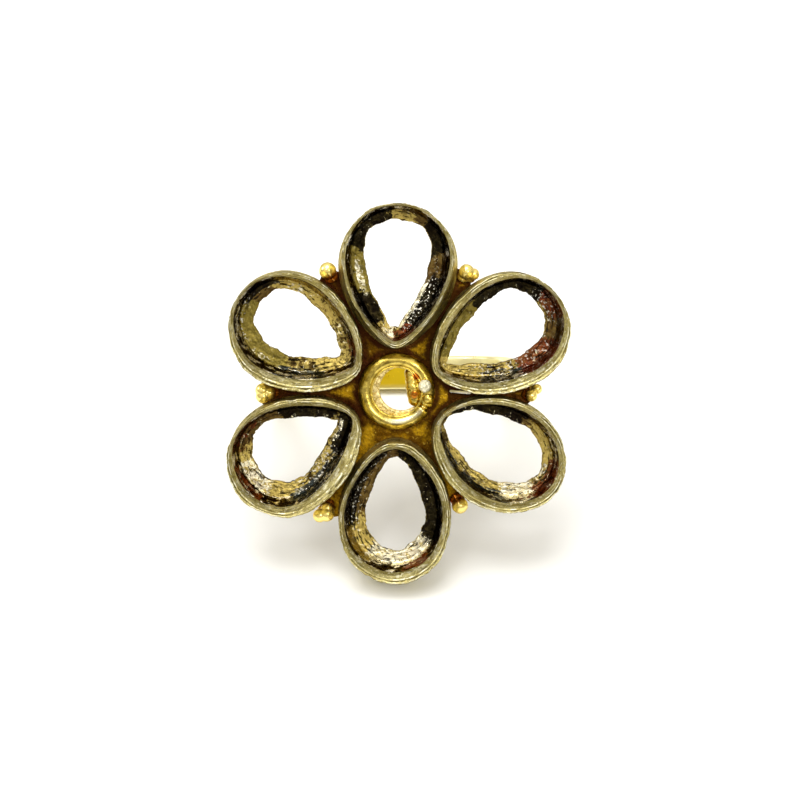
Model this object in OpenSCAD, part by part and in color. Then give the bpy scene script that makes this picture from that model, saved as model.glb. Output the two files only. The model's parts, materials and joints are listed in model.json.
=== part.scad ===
// Flower ring mount: six pear-shaped bezel cups on a star plate, with a flat finger band.
// The flower is drawn lying flat and face up, with its middle at the origin. It is then leant
// back until the lowest cup and the back of the band both stand on the floor.

/* [Cups] */
// Height of the bezel cups
cup_h = 2.8; // [2.4:0.1:3.4]
// Thickness of the back that closes each cup round its hole
back_t = 0.5; // [0.4:0.05:0.7]
// Share of the bezel wall's top that is flat rim; the rest is worn to a bevel
rim_share = 0.5; // [0.3:0.05:0.7]
// Share of the cup's height at which the bevel ends
bevel_share = 0.75; // [0.6:0.05:0.85]

/* [Base plate] */
// Thickness of the star plate
plate_t = 0.6; // [0.4:0.1:1]
// Radius of the middle of the star
hub_r = 3.7; // [3.3:0.1:3.9]
// Radius of the hole in the middle
hole_r = 1.5; // [1.2:0.05:1.6]
// How far the hole stands to the right of the middle
hole_x = 0.33; // [0:0.01:0.4]
// How far the hole stands above the middle
hole_y = 0.13; // [0:0.01:0.4]

/* [Centre ring] */
// Thickness of the wire
wire_d = 1; // [0.8:0.05:1.1]
// Radius of the ring at the middle of the wire
wire_r = 2.16; // [2.02:0.02:2.2]

/* [Finger band] */
// Clear width inside the band
band_in = 16.5; // [16:0.5:18.5]
// Depth of the band from the plate to its inner back face
band_deep = 17.6; // [16:0.2:20]
// Thickness of the band
band_t = 1.1; // [0.8:0.1:1.4]
// Width of the band
band_w = 2.5; // [2:0.1:3]
// Outer radius of the band's corners at the back and at the plate
corner_r = 4; // [3:0.5:6]

/* [Hidden] */

// Small gap between pieces that are seated on each other
seat_gap = 0.02;
// Steps round a cup's outline
cup_n = 60;
// Round things are true circles and spheres
$fn = 64;

// Each cup is built through four pear curves. The tables hold one row for each cup, clockwise
// from the top: the way the round end points, the x and y of the curve's middle, its length,
// its width and how sharp its small end is.
// Outline of the cup's foot
feet = [
  // turn    x      y     long  wide  sharp
  [  87.1,  0.18,  7.81,  9.87, 8.11, 0.24],
  [  27.9,  6.93,  3.67, 10.08, 7.94, 0.21],
  [ -26.6,  6.86, -4.23,  9.62, 7.74, 0.09],
  [ -92.9, -0.22, -8.08,  9.84, 7.84, 0.15],
  [-150.2, -6.95, -4.03,  9.84, 7.82, 0.17],
  [ 149.5, -6.72,  4.02,  9.78, 7.88, 0.18]
];
// Outer edge of the rim
rims = [
  // turn    x      y     long  wide  sharp
  [  87.5,  0.09,  7.97,  9.87, 7.38, 0.36],
  [  27.9,  6.91,  3.67, 10.00, 7.86, 0.21],
  [ -26.6,  6.84, -4.22,  9.54, 7.64, 0.08],
  [ -92.9, -0.24, -8.14,  9.82, 7.64, 0.16],
  [-150.2, -6.92, -3.99,  9.80, 7.73, 0.17],
  [ 149.5, -6.68,  4.00,  9.71, 7.80, 0.18]
];
// Lower edge of the worn bevel inside the rim
bevels = [
  // turn    x      y     long  wide  sharp
  [  87.2,  0.10,  8.13,  9.17, 6.89, 0.31],
  [  28.6,  6.95,  3.83,  9.24, 6.43, 0.27],
  [ -29.2,  6.85, -4.04,  8.68, 6.30, 0.16],
  [ -92.4, -0.34, -8.03,  8.48, 6.68, 0.19],
  [-150.7, -6.96, -3.73,  8.81, 6.27, 0.41],
  [ 150.4, -6.73,  4.24,  8.90, 6.49, 0.26]
];
// Hole sawn in the cup's back
holes = [
  // turn    x      y     long  wide  sharp
  [  86.3,  0.09,  7.91,  7.80, 4.06, 0.78],
  [  30.9,  6.71,  3.86,  7.49, 4.17, 0.59],
  [ -29.4,  6.57, -3.78,  7.48, 4.26, 0.26],
  [ -91.2, -0.20, -7.74,  6.58, 3.91, 0.35],
  [-151.9, -6.91, -3.43,  6.36, 3.95, 0.72],
  [ 147.2, -6.57,  4.40,  6.62, 3.94, 0.47]
];
curves = [feet, rims, bevels, holes];
function turn(k) = rims[k][0];

// One row for each arm of the star: its direction, its reach and its width
arms = [
  [120, 9.5, 1.9],
  [60, 9.5, 1.9],
  [0, 9.6, 2.6],
  [-60, 8.9, 1.9],
  [-120, 9.9, 1.9],
  [180, 9.5, 2.6]
];
// Open slit between the two right cups: the x and y of its inner end, its length, its width
// and how far it slopes
slit = [3.66, -0.07, 1.5, 0.19, -6];

// Gold grains: name of the cluster, then the x, y and radius of each grain
grains = [
  ["grains_upper_left", [[-4.6, 8.34, 0.6]]],
  ["grains_upper_right", [[4.9, 8.14, 0.54], [5.37, 7.97, 0.42], [4.66, 7.62, 0.24]]],
  ["grains_left", [[-9.2, 0.22, 0.5], [-9.18, -0.18, 0.5], [-8.76, 0.03, 0.46]]],
  ["grains_right", [[9.26, -0.42, 0.42], [9.68, 0.02, 0.36]]],
  ["grains_lower_left", [[-5.42, -8.5, 0.48], [-4.94, -8.42, 0.52], [-4.9, -8.0, 0.42]]],
  ["grains_lower_right", [[4.26, -7.96, 0.57]]]
];

// Lumps of solder on the wire ring: x, y, height of the middle and radius
solder = [
  [1.92, 0.4, 0.84, 0.44],
  [2.16, -0.5, 0.72, 0.42],
  [1.05, 1.2, 0.2, 0.5],
  [1.1, 0.76, 0.25, 0.52],
  [1.14, 0.3, 0.3, 0.54],
  [1.2, -0.16, 0.28, 0.52],
  [1.26, -0.58, 0.22, 0.48]
];

// A point on a pear curve, where the row holds turn, x, y, length, width and sharpness
narrowing = 0.85;
function pear(row, t, inset = 0) =
  let (
    u = (row[3] / 2 - inset) * cos(t),
    v = (row[4] / 2 - inset) * sin(t) * pow(1 + narrowing * cos(t), row[5])
  )
  [row[1] + u * cos(row[0]) - v * sin(row[0]), row[2] + u * sin(row[0]) + v * cos(row[0])];

// A point at a station between two of cup k's curves: 0 is its foot, 1 its rim, 2 its bevel's
// edge and 3 its hole
function between(k, t, station, inset) =
  let (
    from = min(floor(station), len(curves) - 2),
    a = pear(curves[from][k], t, inset),
    b = pear(curves[from + 1][k], t, inset)
  )
  a + (station - from) * (b - a);

steps = [for (i = [0:cup_n - 1]) 360 * i / cup_n];

// Small waves that keep the saw cut, the wall and the rim from being perfect
function saw_wave(k, t) = 0.06 * sin(5 * t + turn(k)) + 0.04 * sin(11 * t + 2 * turn(k));
function wall_wave(k, t) = 0.025 * sin(4 * t + 2 * turn(k)) + 0.015 * sin(7 * t + turn(k));
function rim_wave(k, t) = 0.05 * sin(2 * t + 3 * turn(k)) + 0.03 * sin(5 * t + turn(k));

// Section of the wall, up its outside and down its inside: a share of the cup's height and
// the station. Its foot is sunk in the cup's back and stands in a little from its edge.
foot_inset = 0.05;
wall_section = [
  [0.08, 0.08],
  [0.5, 0.5],
  [0.85, 0.85],
  [1, 1.08],
  [1, 1 + rim_share],
  [bevel_share, 2],
  [0.45, 2.1],
  [0.2, 2.25],
  [0.08, 2.35]
];
function wall_loop(k, share, station) = [
  for (t = steps)
    let (at = between(k, t, station, foot_inset * (1 - share) + share * wall_wave(k, t)))
    [at.x, at.y, share * (cup_h + rim_wave(k, t))]
];

// Faces of a closed band of equal loops, each loop joined to the next and the last to the first
function band_faces(loops, n) = [
  for (k = [0:loops - 1])
    for (i = [0:n - 1])
      let (j = (i + 1) % n, low = k * n, high = ((k + 1) % loops) * n)
      each [[low + i, high + i, high + j], [low + i, high + j, low + j]]
];

module cup_wall(k) {
  points = [for (s = wall_section) each wall_loop(k, s[0], s[1])];
  polyhedron(points, band_faces(len(wall_section), cup_n));
}

module cup_back(k) {
  linear_extrude(back_t)
    difference() {
      polygon([for (t = steps) pear(feet[k], t)]);
      polygon([for (t = steps) pear(holes[k], t, saw_wave(k, t))]);
    }
}

module bezel_cup(k) {
  cup_wall(k);
  cup_back(k);
}

module star_arm(reach, wide) {
  root_w = hub_r * 0.4;
  neck_w = max(wide / 2, hub_r * 0.32);
  end_r = wide / 2;
  polygon([
    [0, -root_w], [hub_r, -neck_w], [reach - end_r, -end_r],
    [reach - end_r, end_r], [hub_r, neck_w], [0, root_w]
  ]);
  translate([reach - end_r, 0])
    circle(end_r);
}

module star_plate() {
  translate([0, 0, -plate_t - seat_gap])
    linear_extrude(plate_t)
      difference() {
        union() {
          circle(hub_r);
          for (a = arms)
            rotate(a[0])
              star_arm(a[1], a[2]);
        }
        translate([hole_x, hole_y])
          circle(hole_r);
        translate([slit[0], slit[1]])
          rotate(slit[4])
            translate([0, -slit[3] / 2])
              square([slit[2], slit[3]]);
      }
}

// Cuts off what lies below the plate's face
module above_plate() {
  difference() {
    union()
      children();
    translate([-12, -12, -4])
      cube([24, 24, 4]);
  }
}

module wire_ring() {
  wire_rad = wire_d / 2;
  above_plate() {
    translate([0, 0, 0.9 * wire_rad])
      rotate_extrude()
        translate([wire_r, 0])
          circle(wire_rad);
    for (s = solder)
      translate([s[0], s[1], s[2]])
        sphere(s[3]);
  }
}

module grain_cluster(row) {
  above_plate()
    for (g = row[1])
      translate([g[0], g[1], 0.9 * g[2]])
        sphere(g[2]);
}

// Outline of the band, with x across the finger and y up to the plate. It would close
// above the plate, where it is cut off, so its two ends turn in to meet the plate.
shoulder = 1.5;
module band_outline(grow) {
  half = band_in / 2 + grow;
  low = -band_deep - grow;
  high = shoulder + grow - band_t;
  round_r = corner_r - band_t + grow;
  translate([-half, low + round_r])
    square([2 * half, high - low - 2 * round_r]);
  translate([-half + round_r, low])
    square([2 * (half - round_r), high - low]);
  for (side = [-1, 1])
    for (end = [low + round_r, high - round_r])
      translate([side * (half - round_r), end])
        circle(round_r);
}

module finger_band() {
  reach = band_in / 2 + band_t + 1;
  translate([0, band_w / 2, -plate_t - 2 * seat_gap])
    rotate([90, 0, 0])
      linear_extrude(band_w)
        difference() {
          band_outline(band_t);
          band_outline(0);
          translate([-reach, 0])
            square([2 * reach, shoulder + 1]);
        }
}

// How far the flower leans back so that the lowest cup and the band's back edge share a floor
foot_points = [for (row = feet) for (t = steps) pear(row, t)];
band_back = plate_t + 2 * seat_gap + band_deep + band_t;
low_edge = -min([for (p = foot_points) p.y]);
lean_back = atan2(low_edge - band_w / 2, band_back);

// Middle of the finished part's box, so that it stands over the origin
bottom_cup = 3;
all_rims = [for (k = [0:len(rims) - 1]) each wall_loop(k, 1, 1.08)];
side_x = [for (p = concat(foot_points, all_rims)) p.x];
front_y = min([for (p = wall_loop(bottom_cup, 1, 1.08)) p.y * sin(lean_back) - p.z * cos(lean_back)]);
back_y = band_w / 2 * sin(lean_back) + band_back * cos(lean_back);
mid_x = (min(side_x) + max(side_x)) / 2;
mid_y = (front_y + back_y) / 2;

module place() {
  translate([-mid_x, -mid_y, low_edge * cos(lean_back)])
    rotate([90 - lean_back, 0, 0])
      children();
}

module base_plate() color("goldenrod") place() star_plate();
module centre_ring() color("gold") place() wire_ring();
module shank() color("khaki") place() finger_band();
module cup(k) color("silver") place() bezel_cup(k);
module grain(k) color("orange") place() grain_cluster(grains[k]);

base_plate();
centre_ring();
shank();
cup(0);  // cup_top
cup(1);  // cup_upper_right
cup(2);  // cup_lower_right
cup(3);  // cup_bottom
cup(4);  // cup_lower_left
cup(5);  // cup_upper_left
grain(0);  // grains_upper_left
grain(1);  // grains_upper_right
grain(2);  // grains_left
grain(3);  // grains_right
grain(4);  // grains_lower_left
grain(5);  // grains_lower_right
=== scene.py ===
import json
import math
import bmesh
import bpy
from mathutils import Matrix, Vector, kdtree, noise


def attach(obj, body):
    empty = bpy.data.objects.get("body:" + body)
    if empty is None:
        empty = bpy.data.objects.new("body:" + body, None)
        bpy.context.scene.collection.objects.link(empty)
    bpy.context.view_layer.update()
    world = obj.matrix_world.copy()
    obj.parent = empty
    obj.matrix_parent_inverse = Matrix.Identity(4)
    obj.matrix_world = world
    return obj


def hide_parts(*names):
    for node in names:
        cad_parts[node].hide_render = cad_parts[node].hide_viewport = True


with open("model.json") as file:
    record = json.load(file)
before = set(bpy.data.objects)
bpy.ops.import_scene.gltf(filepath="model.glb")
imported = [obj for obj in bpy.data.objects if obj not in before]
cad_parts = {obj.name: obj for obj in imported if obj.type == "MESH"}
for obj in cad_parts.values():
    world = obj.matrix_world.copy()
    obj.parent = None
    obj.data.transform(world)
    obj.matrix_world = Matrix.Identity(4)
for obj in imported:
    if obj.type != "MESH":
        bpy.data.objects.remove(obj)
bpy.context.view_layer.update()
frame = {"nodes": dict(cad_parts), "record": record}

# The flower is worked out lying flat in millimetres, face up, with its middle at the origin,
# as in the part's source, and is then stood up in the frame by one of the record's mounts.
MM = 0.001
# How far the centre_setting mount stands over the plate's face
RING_POINT_H = 0.45


def mount(name):
    return next(m for m in frame["record"]["mounts"] if m["name"] == name)


def flower_matrix():
    face = Vector(mount("centre_setting")["axis"]).normalized()
    middle = Vector(mount("centre_setting")["pos_m"]) - face * RING_POINT_H * MM
    across = Vector((1, 0, 0))
    turned = Matrix((across, face.cross(across), face)).transposed().to_4x4()
    return Matrix.Translation(middle) @ turned @ Matrix.Scale(MM, 4)


FLOWER = flower_matrix()
FACE = (FLOWER.to_3x3() @ Vector((0, 0, 1))).normalized()

# Sizes in millimetres, as in the part's source
CUP_H = 2.8
BACK_T = 0.5
PLATE_T = 0.6
SEAT_GAP = 0.02
WIRE_D = 1.0
WIRE_R = 2.16
BAND_IN = 16.5
BAND_DEEP = 17.6
BAND_T = 1.1
BAND_W = 2.5
BAND_CORNER = 4.0
BAND_SHOULDER = 1.5

# The cups, clockwise from the top, and the four curves of each: the way the round end points,
# the x and y of its middle, its length, its width and how sharp its small end is
CUPS = ["cup_top", "cup_upper_right", "cup_lower_right", "cup_bottom", "cup_lower_left", "cup_upper_left"]
NARROWING = 0.85
FEET = [
    (87.1, 0.18, 7.81, 9.87, 8.11, 0.24), (27.9, 6.93, 3.67, 10.08, 7.94, 0.21),
    (-26.6, 6.86, -4.23, 9.62, 7.74, 0.09), (-92.9, -0.22, -8.08, 9.84, 7.84, 0.15),
    (-150.2, -6.95, -4.03, 9.84, 7.82, 0.17), (149.5, -6.72, 4.02, 9.78, 7.88, 0.18),
]
RIMS = [
    (87.5, 0.09, 7.97, 9.87, 7.38, 0.36), (27.9, 6.91, 3.67, 10.00, 7.86, 0.21),
    (-26.6, 6.84, -4.22, 9.54, 7.64, 0.08), (-92.9, -0.24, -8.14, 9.82, 7.64, 0.16),
    (-150.2, -6.92, -3.99, 9.80, 7.73, 0.17), (149.5, -6.68, 4.00, 9.71, 7.80, 0.18),
]
BEVELS = [
    (87.2, 0.10, 8.13, 9.17, 6.89, 0.31), (28.6, 6.95, 3.83, 9.24, 6.43, 0.27),
    (-29.2, 6.85, -4.04, 8.68, 6.30, 0.16), (-92.4, -0.34, -8.03, 8.48, 6.68, 0.19),
    (-150.7, -6.96, -3.73, 8.81, 6.27, 0.41), (150.4, -6.73, 4.24, 8.90, 6.49, 0.26),
]
HOLES = [
    (86.3, 0.09, 7.91, 7.80, 4.06, 0.78), (30.9, 6.71, 3.86, 7.49, 4.17, 0.59),
    (-29.4, 6.57, -3.78, 7.48, 4.26, 0.26), (-91.2, -0.20, -7.74, 6.58, 3.91, 0.35),
    (-151.9, -6.91, -3.43, 6.36, 3.95, 0.72), (147.2, -6.57, 4.40, 6.62, 3.94, 0.47),
]
CURVES = [FEET, RIMS, BEVELS, HOLES]

# How far the hole reaches from its middle towards its small end, where the saw cut it off blunt.
# 9 mm is past the end of any hole, so those four keep their point.
HOLE_REACH = [3.45, 9.0, 3.62, 9.0, 9.0, 9.0]

# Stains inside each cup, and among them where painted glints lie and the silvery patches that are partly
# painted highlights: kind, where it starts and ends in degrees round the cup, counted from its round end, the
# stations down the wall between which it lies, and how full it is
STAINS = {
    "cup_top": [
        ("dark", 15, 60, 2.2, 3.0, 0.9), ("olive", 60, 110, 2.25, 3.2, 0.75),
        ("silver", 82, 104, 2.5, 2.75, 0.6), ("dark", 112, 134, 2.1, 2.9, 0.8),
        ("gold", 135, 155, 2.6, 3.2, 0.8), ("silver", 155, 172, 2.2, 3.2, 0.6),
        ("copper", 170, 212, 2.0, 2.7, 0.65), ("dark", 212, 264, 2.1, 2.75, 0.9),
        ("glint_specks", 212, 262, 2.1, 2.8, 1.0), ("silver", 212, 262, 2.8, 3.1, 0.6),
        ("brown", 264, 286, 2.2, 3.2, 0.8), ("dark", 298, 322, 2.1, 3.0, 0.9),
        ("brown", 322, 345, 2.1, 3.0, 0.7), ("gold", 345, 372, 2.4, 3.2, 0.6),
    ],
    "cup_upper_right": [
        ("copper", -12, 12, 2.0, 2.8, 0.7), ("glint_specks", -12, 12, 2.1, 3.0, 0.7),
        ("dark", 14, 86, 2.1, 3.1, 0.95), ("olive", 88, 160, 2.3, 3.2, 0.8),
        ("gold", 165, 235, 2.3, 3.2, 0.7), ("teal", 236, 282, 2.0, 2.6, 0.5),
        ("glint_specks", 236, 282, 2.0, 3.0, 0.7), ("copper", 282, 310, 2.0, 3.2, 0.9),
        ("glint_specks", 282, 312, 2.0, 3.2, 0.5), ("brown", 312, 350, 2.0, 2.9, 0.8),
    ],
    "cup_lower_right": [
        ("copper", 332, 376, 2.0, 2.55, 0.65), ("silver", 344, 372, 2.6, 3.1, 0.4),
        ("gold", 16, 66, 2.3, 3.2, 0.7), ("brown", 64, 90, 2.1, 3.2, 0.7),
        ("dark", 84, 152, 2.1, 3.2, 0.95), ("teal", 182, 216, 2.0, 2.5, 0.3),
        ("teal", 226, 298, 2.0, 2.45, 0.6), ("gold", 226, 300, 2.6, 3.2, 0.6),
        ("silver", 302, 332, 2.2, 3.2, 0.65), ("copper", 318, 338, 2.1, 2.5, 0.4),
    ],
    "cup_bottom": [
        ("silver", 328, 408, 2.25, 3.1, 0.65), ("gold", 340, 400, 2.65, 2.85, 0.7),
        ("copper", 18, 38, 2.0, 2.3, 0.6), ("dark", 56, 164, 2.1, 3.0, 0.95),
        ("olive", 68, 84, 2.2, 2.7, 0.7), ("brown", 166, 202, 2.2, 3.2, 0.7),
        ("dark", 204, 286, 2.0, 2.5, 0.8), ("glint_specks", 204, 286, 2.0, 2.6, 0.6),
        ("brown", 204, 286, 2.5, 3.2, 0.6), ("gold", 286, 328, 2.1, 3.2, 0.7),
    ],
    "cup_lower_left": [
        ("copper", -12, 26, 2.0, 2.2, 0.55), ("silver", -8, 28, 2.3, 3.0, 0.55),
        ("gold", 30, 76, 2.4, 3.2, 0.7), ("teal", 60, 118, 2.0, 2.5, 0.6),
        ("glint_specks", 74, 118, 2.0, 2.9, 0.7), ("dark", 128, 192, 2.1, 2.7, 0.9),
        ("silver", 138, 180, 2.6, 2.85, 0.5), ("dark", 214, 262, 2.0, 3.2, 0.95),
        ("brown", 260, 332, 2.1, 3.2, 0.7), ("copper", 296, 332, 2.0, 2.7, 0.45),
        ("gold", 332, 352, 2.3, 3.2, 0.6),
    ],
    "cup_upper_left": [
        ("glint_specks", 0, 36, 2.0, 2.4, 0.8), ("olive", 4, 90, 2.3, 3.2, 0.85),
        ("silver", 60, 76, 2.3, 2.5, 0.4), ("teal", 92, 134, 2.0, 2.4, 0.55),
        ("silver", 108, 122, 2.0, 2.12, 0.6), ("gold", 134, 186, 2.5, 3.2, 0.85),
        ("copper", 194, 216, 2.0, 2.4, 0.5), ("brown", 240, 284, 2.0, 3.0, 0.6),
        ("gold", 244, 322, 2.1, 3.2, 0.7), ("silver", 290, 316, 2.4, 3.0, 0.35),
        ("dark", 322, 356, 2.1, 2.5, 0.9), ("brown", 322, 356, 2.5, 3.1, 0.7),
    ],
}
KINDS = ["brown", "olive", "gold", "dark", "teal", "copper", "silver", "glint_specks"]

# Gold grains: the cluster's node, then the x, y and radius of each grain
GRAINS = [
    ("grains_upper_left", [(-4.6, 8.34, 0.6)]),
    ("grains_upper_right", [(4.9, 8.14, 0.54), (5.37, 7.97, 0.42), (4.66, 7.62, 0.24)]),
    ("grains_left", [(-9.2, 0.22, 0.5), (-9.18, -0.18, 0.5), (-8.76, 0.03, 0.46)]),
    ("grains_right", [(9.26, -0.42, 0.42), (9.68, 0.02, 0.36)]),
    ("grains_lower_left", [(-5.42, -8.5, 0.48), (-4.94, -8.42, 0.52), (-4.9, -8.0, 0.42)]),
    ("grains_lower_right", [(4.26, -7.96, 0.57)]),
]

# Lumps of solder on the wire ring: x, y, height of the middle and radius. The first is bright tin,
# a rosette of small lumps.
SOLDER = [
    (1.92, 0.4, 0.84, 0.44), (2.16, -0.5, 0.72, 0.42), (1.05, 1.2, 0.2, 0.5), (1.1, 0.76, 0.25, 0.52),
    (1.14, 0.3, 0.3, 0.54), (1.2, -0.16, 0.28, 0.52), (1.26, -0.58, 0.22, 0.48),
]

# The photo's camera and its frame: its width in pixels, the pixels that a millimetre of the
# flower fills, the camera's distance in millimetres, its angles in degrees and its sensor
PHOTO_W = 794
SENSOR = 36
PX_MM = 14.5
CAMERA_DIST = 130.0
CAMERA_OVER_FACE = 4.5
CAMERA_AZIMUTH = -1.5
# The flower's middle in the photo, in pixels
MIDDLE_PX = (396.5, 391.0)


def wave(x, y, z, scale, seed=0.0):
    """Smooth noise from -1 to 1, scale in millimetres."""
    return noise.noise(Vector((x / scale + seed, y / scale - seed, z / scale + 2 * seed)))


def window(value, low, high, soft):
    """1 between low and high, falling to 0 over the soft distance outside them."""
    return max(0.0, min(1.0, 1 + (value - low) / soft, 1 + (high - value) / soft))


def add_piece(name, mesh, material, nodes):
    """Puts a mesh made in the flower's millimetres into the frame, in place of CAD nodes."""
    mesh.transform(FLOWER)
    for polygon in mesh.polygons:
        polygon.use_smooth = True
    piece = bpy.data.objects.new(name, mesh)
    bpy.context.collection.objects.link(piece)
    mesh.materials.append(material)
    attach(piece, "root")
    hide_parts(*nodes)
    return piece


def applied(mesh, modifiers):
    """The mesh after a list of modifiers, each given as its type and its settings."""
    carrier = bpy.data.objects.new("carrier", mesh)
    bpy.context.collection.objects.link(carrier)
    for kind, settings in modifiers:
        modifier = carrier.modifiers.new(kind.lower(), kind)
        for key, value in settings.items():
            setattr(modifier, key, value)
    seen = carrier.evaluated_get(bpy.context.evaluated_depsgraph_get())
    made = bpy.data.meshes.new_from_object(seen)
    bpy.data.objects.remove(carrier)
    return made


# Cups

# Points round a cup, and how long the stretches between the points of its section are at most
CUP_STEPS = 360
SECTION_STEP = 0.09
# How many millimetres one station measures, roughly
STATION_MM = 0.7

# Section of a cup, up the outside and down the inside: height, station and part
SECTION = [
    (0.00, 0.02, "back"), (0.03, 0.0, "outside"), (0.44, 0.0, "outside"), (0.5, 0.04, "outside"),
    (0.53, 0.14, "outside"), (0.8, 0.3, "outside"), (1.4, 0.5, "outside"), (2.1, 0.75, "outside"),
    (2.6, 0.94, "outside"), (2.72, 1.0, "rim"), (2.78, 1.05, "rim"), (2.8, 1.12, "rim"), (2.77, 1.19, "rim"),
    (2.72, 1.25, "groove"), (2.71, 1.3, "groove"), (2.77, 1.36, "rim"), (2.79, 1.43, "rim"),
    (2.76, 1.5, "rim"), (2.66, 1.58, "rim"), (2.42, 1.78, "rim"), (2.16, 1.96, "rim"), (2.04, 2.0, "wall"),
    (1.9, 2.01, "wall"), (1.26, 2.1, "wall"), (0.8, 2.2, "wall"), (0.6, 2.27, "wall"), (0.52, 2.34, "seat"),
]
# The seat starts at the section's last station, a little above the back, and ends at the hole,
# whose sawn edge has a station of its own
SEAT_START = 2.34
HOLE_STATION = 3
EDGE_STATION = 3.1
SEAT_RISE = 0.02
SEAT_STEPS = 14
# Heights of the rows down the hole's edge, and shares of the way back out under the cup
EDGE_HEIGHTS = (0.46, 0.34, 0.2, 0.08, 0.02)
BACK_SHARES = (0.02, 0.2, 0.5, 0.8)
# How deep the groove along the rim is at most
GROOVE = 0.12
# Knocks in the outside and the rim's outer edge: how long each kind is and how deep
KNOCKS = [(1.6, 0.11), (0.5, 0.075), (0.18, 0.05)]
# How rough each part's skin is, in millimetres, and how far the outside is held in for it
ROUGH = {"outside": 0.04, "rim": 0.04, "groove": 0.03, "wall": 0.05, "seat": 0.07, "edge": 0.04, "back": 0.02}
OUTSIDE_SLACK = 0.02


def pear(row, t, inset=0.0):
    turn, x, y, long, wide, sharp = row
    u = (long / 2 - inset) * math.cos(t)
    v = (wide / 2 - inset) * math.sin(t) * (1 + NARROWING * math.cos(t)) ** sharp
    c, s = math.cos(math.radians(turn)), math.sin(math.radians(turn))
    return x + u * c - v * s, y + u * s + v * c


def between(k, t, station, inset):
    """The point of cup k at a station: 0 is its foot, 1 its rim, 2 its bevel's edge and 3 its hole."""
    first = min(int(station), 2)
    a = pear(CURVES[first][k], t, inset)
    b = pear(CURVES[first + 1][k], t, inset)
    share = station - first
    return a[0] + share * (b[0] - a[0]), a[1] + share * (b[1] - a[1])


def resampled(points, step):
    """Adds points along the section's straight stretches, so that none is longer than step."""
    out = []
    for a, b in zip(points, points[1:]):
        n = max(1, math.ceil(math.hypot(b[0] - a[0], (b[1] - a[1]) * STATION_MM) / step))
        out += [(a[0] + (b[0] - a[0]) * i / n, a[1] + (b[1] - a[1]) * i / n, a[2]) for i in range(n)]
    out.append(points[-1])
    return out


def waves(k, t):
    """The small waves of the saw cut, the wall and the rim of cup k, as in the part's source."""
    turn = math.radians(RIMS[k][0])
    saw = 0.06 * math.sin(5 * t + turn) + 0.04 * math.sin(11 * t + 2 * turn)
    wall = 0.025 * math.sin(4 * t + 2 * turn) + 0.015 * math.sin(7 * t + turn)
    rim = 0.05 * math.sin(2 * t + 3 * turn) + 0.03 * math.sin(5 * t + turn)
    return saw, wall, rim


def knocked(k, t):
    """How far knocks push in the outside of cup k."""
    x, y = pear(RIMS[k], t)
    return sum(depth * max(0.0, wave(x, y, 0, long, 6.3 + long) + 0.1) for long, depth in KNOCKS)


def hole_edge(k, t):
    """The ragged edge of cup k's hole: the saw cut, its burrs and its blunt small end."""
    saw, _, _ = waves(k, t)
    x, y = pear(HOLES[k], t, saw)
    burr = 0.06 * wave(x, y, 0, 0.7, 3.1) + 0.05 * wave(x, y, 0, 0.26, 7.7) + 0.03 * wave(x, y, 0, 0.11, 5.2)
    x, y = pear(HOLES[k], t, saw + burr)
    turn = math.radians(HOLES[k][0])
    towards = -(x - HOLES[k][1]) * math.cos(turn) - (y - HOLES[k][2]) * math.sin(turn)
    beyond = max(0.0, towards - HOLE_REACH[k] - 0.6 * burr)
    return x + beyond * math.cos(turn), y + beyond * math.sin(turn)


def row_between(first, last, share, height):
    """A row of points that lies a share of the way from one row to another."""
    return [(a[0] + (b[0] - a[0]) * share, a[1] + (b[1] - a[1]) * share, height) for a, b in zip(first, last)]


def cup_rows(k):
    """Rows of points round cup k, with each row's station and part."""
    rows, labels = [], []
    angles = [2 * math.pi * i / CUP_STEPS for i in range(CUP_STEPS)]
    knocks = [knocked(k, t) for t in angles]
    for height, station, part in resampled(SECTION, SECTION_STEP):
        share = height / CUP_H
        row = []
        for i, t in enumerate(angles):
            _, wall, rim = waves(k, t)
            pushed = knocks[i] * window(station, 0.6, 1.15, 0.25)
            x, y = between(k, t, station, OUTSIDE_SLACK + share * wall + pushed)
            depth = GROOVE * max(0.0, 0.15 + wave(x, y, 0, 1.1, 2.7)) if part == "groove" else 0.0
            row.append((x, y, height + share * rim - depth))
        rows.append(row)
        labels.append((station, part))
    foot = rows[-1]
    # The seat runs from the wall's foot to the ragged hole, then down the hole's edge
    ragged = [hole_edge(k, t) for t in angles]
    for i in range(1, SEAT_STEPS):
        share = i / SEAT_STEPS
        rows.append(row_between(foot, ragged, share, BACK_T + SEAT_RISE * (1 - share)))
        labels.append((SEAT_START + (HOLE_STATION - SEAT_START) * share, "seat"))
    for height in EDGE_HEIGHTS:
        rows.append([(x, y, height) for x, y in ragged])
        labels.append((EDGE_STATION, "edge"))
    # The back's stations rise to 0 at the foot, so that its streaks run round the hole
    for share in BACK_SHARES:
        rows.append(row_between(ragged, rows[0], share, 0.0))
        labels.append(((SEAT_START - HOLE_STATION) * (1 - share), "back"))
    return rows, labels


# Over how many degrees and stations a stain fades out, and where the bevel turns to wall
STAIN_FADE = 16
STAIN_FADE_DOWN = 0.12
BEVEL_FOOT = 1.85


def stain_values(node, labels):
    """How much of each kind of stain, and of painted glints, lies on each point of a cup."""
    values = {kind: [0.0] * (len(labels) * CUP_STEPS) for kind in KINDS}
    for kind, start, end, low, high, full in STAINS[node]:
        middle, reach = (start + end) / 2, (end - start) / 2
        round_it = []
        for i in range(CUP_STEPS):
            off = abs((i * 360 / CUP_STEPS - middle + 180) % 360 - 180)
            round_it.append(full * window(off, -reach, reach, STAIN_FADE))
        for row, (station, part) in enumerate(labels):
            down = window(station, low, high, STAIN_FADE_DOWN)
            stained = part in ("wall", "seat", "edge") or (part == "rim" and station >= BEVEL_FOOT)
            if down == 0 or not stained:
                continue
            first = row * CUP_STEPS
            for i, amount in enumerate(round_it):
                if amount * down > values[kind][first + i]:
                    values[kind][first + i] = amount * down
    return values


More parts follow.
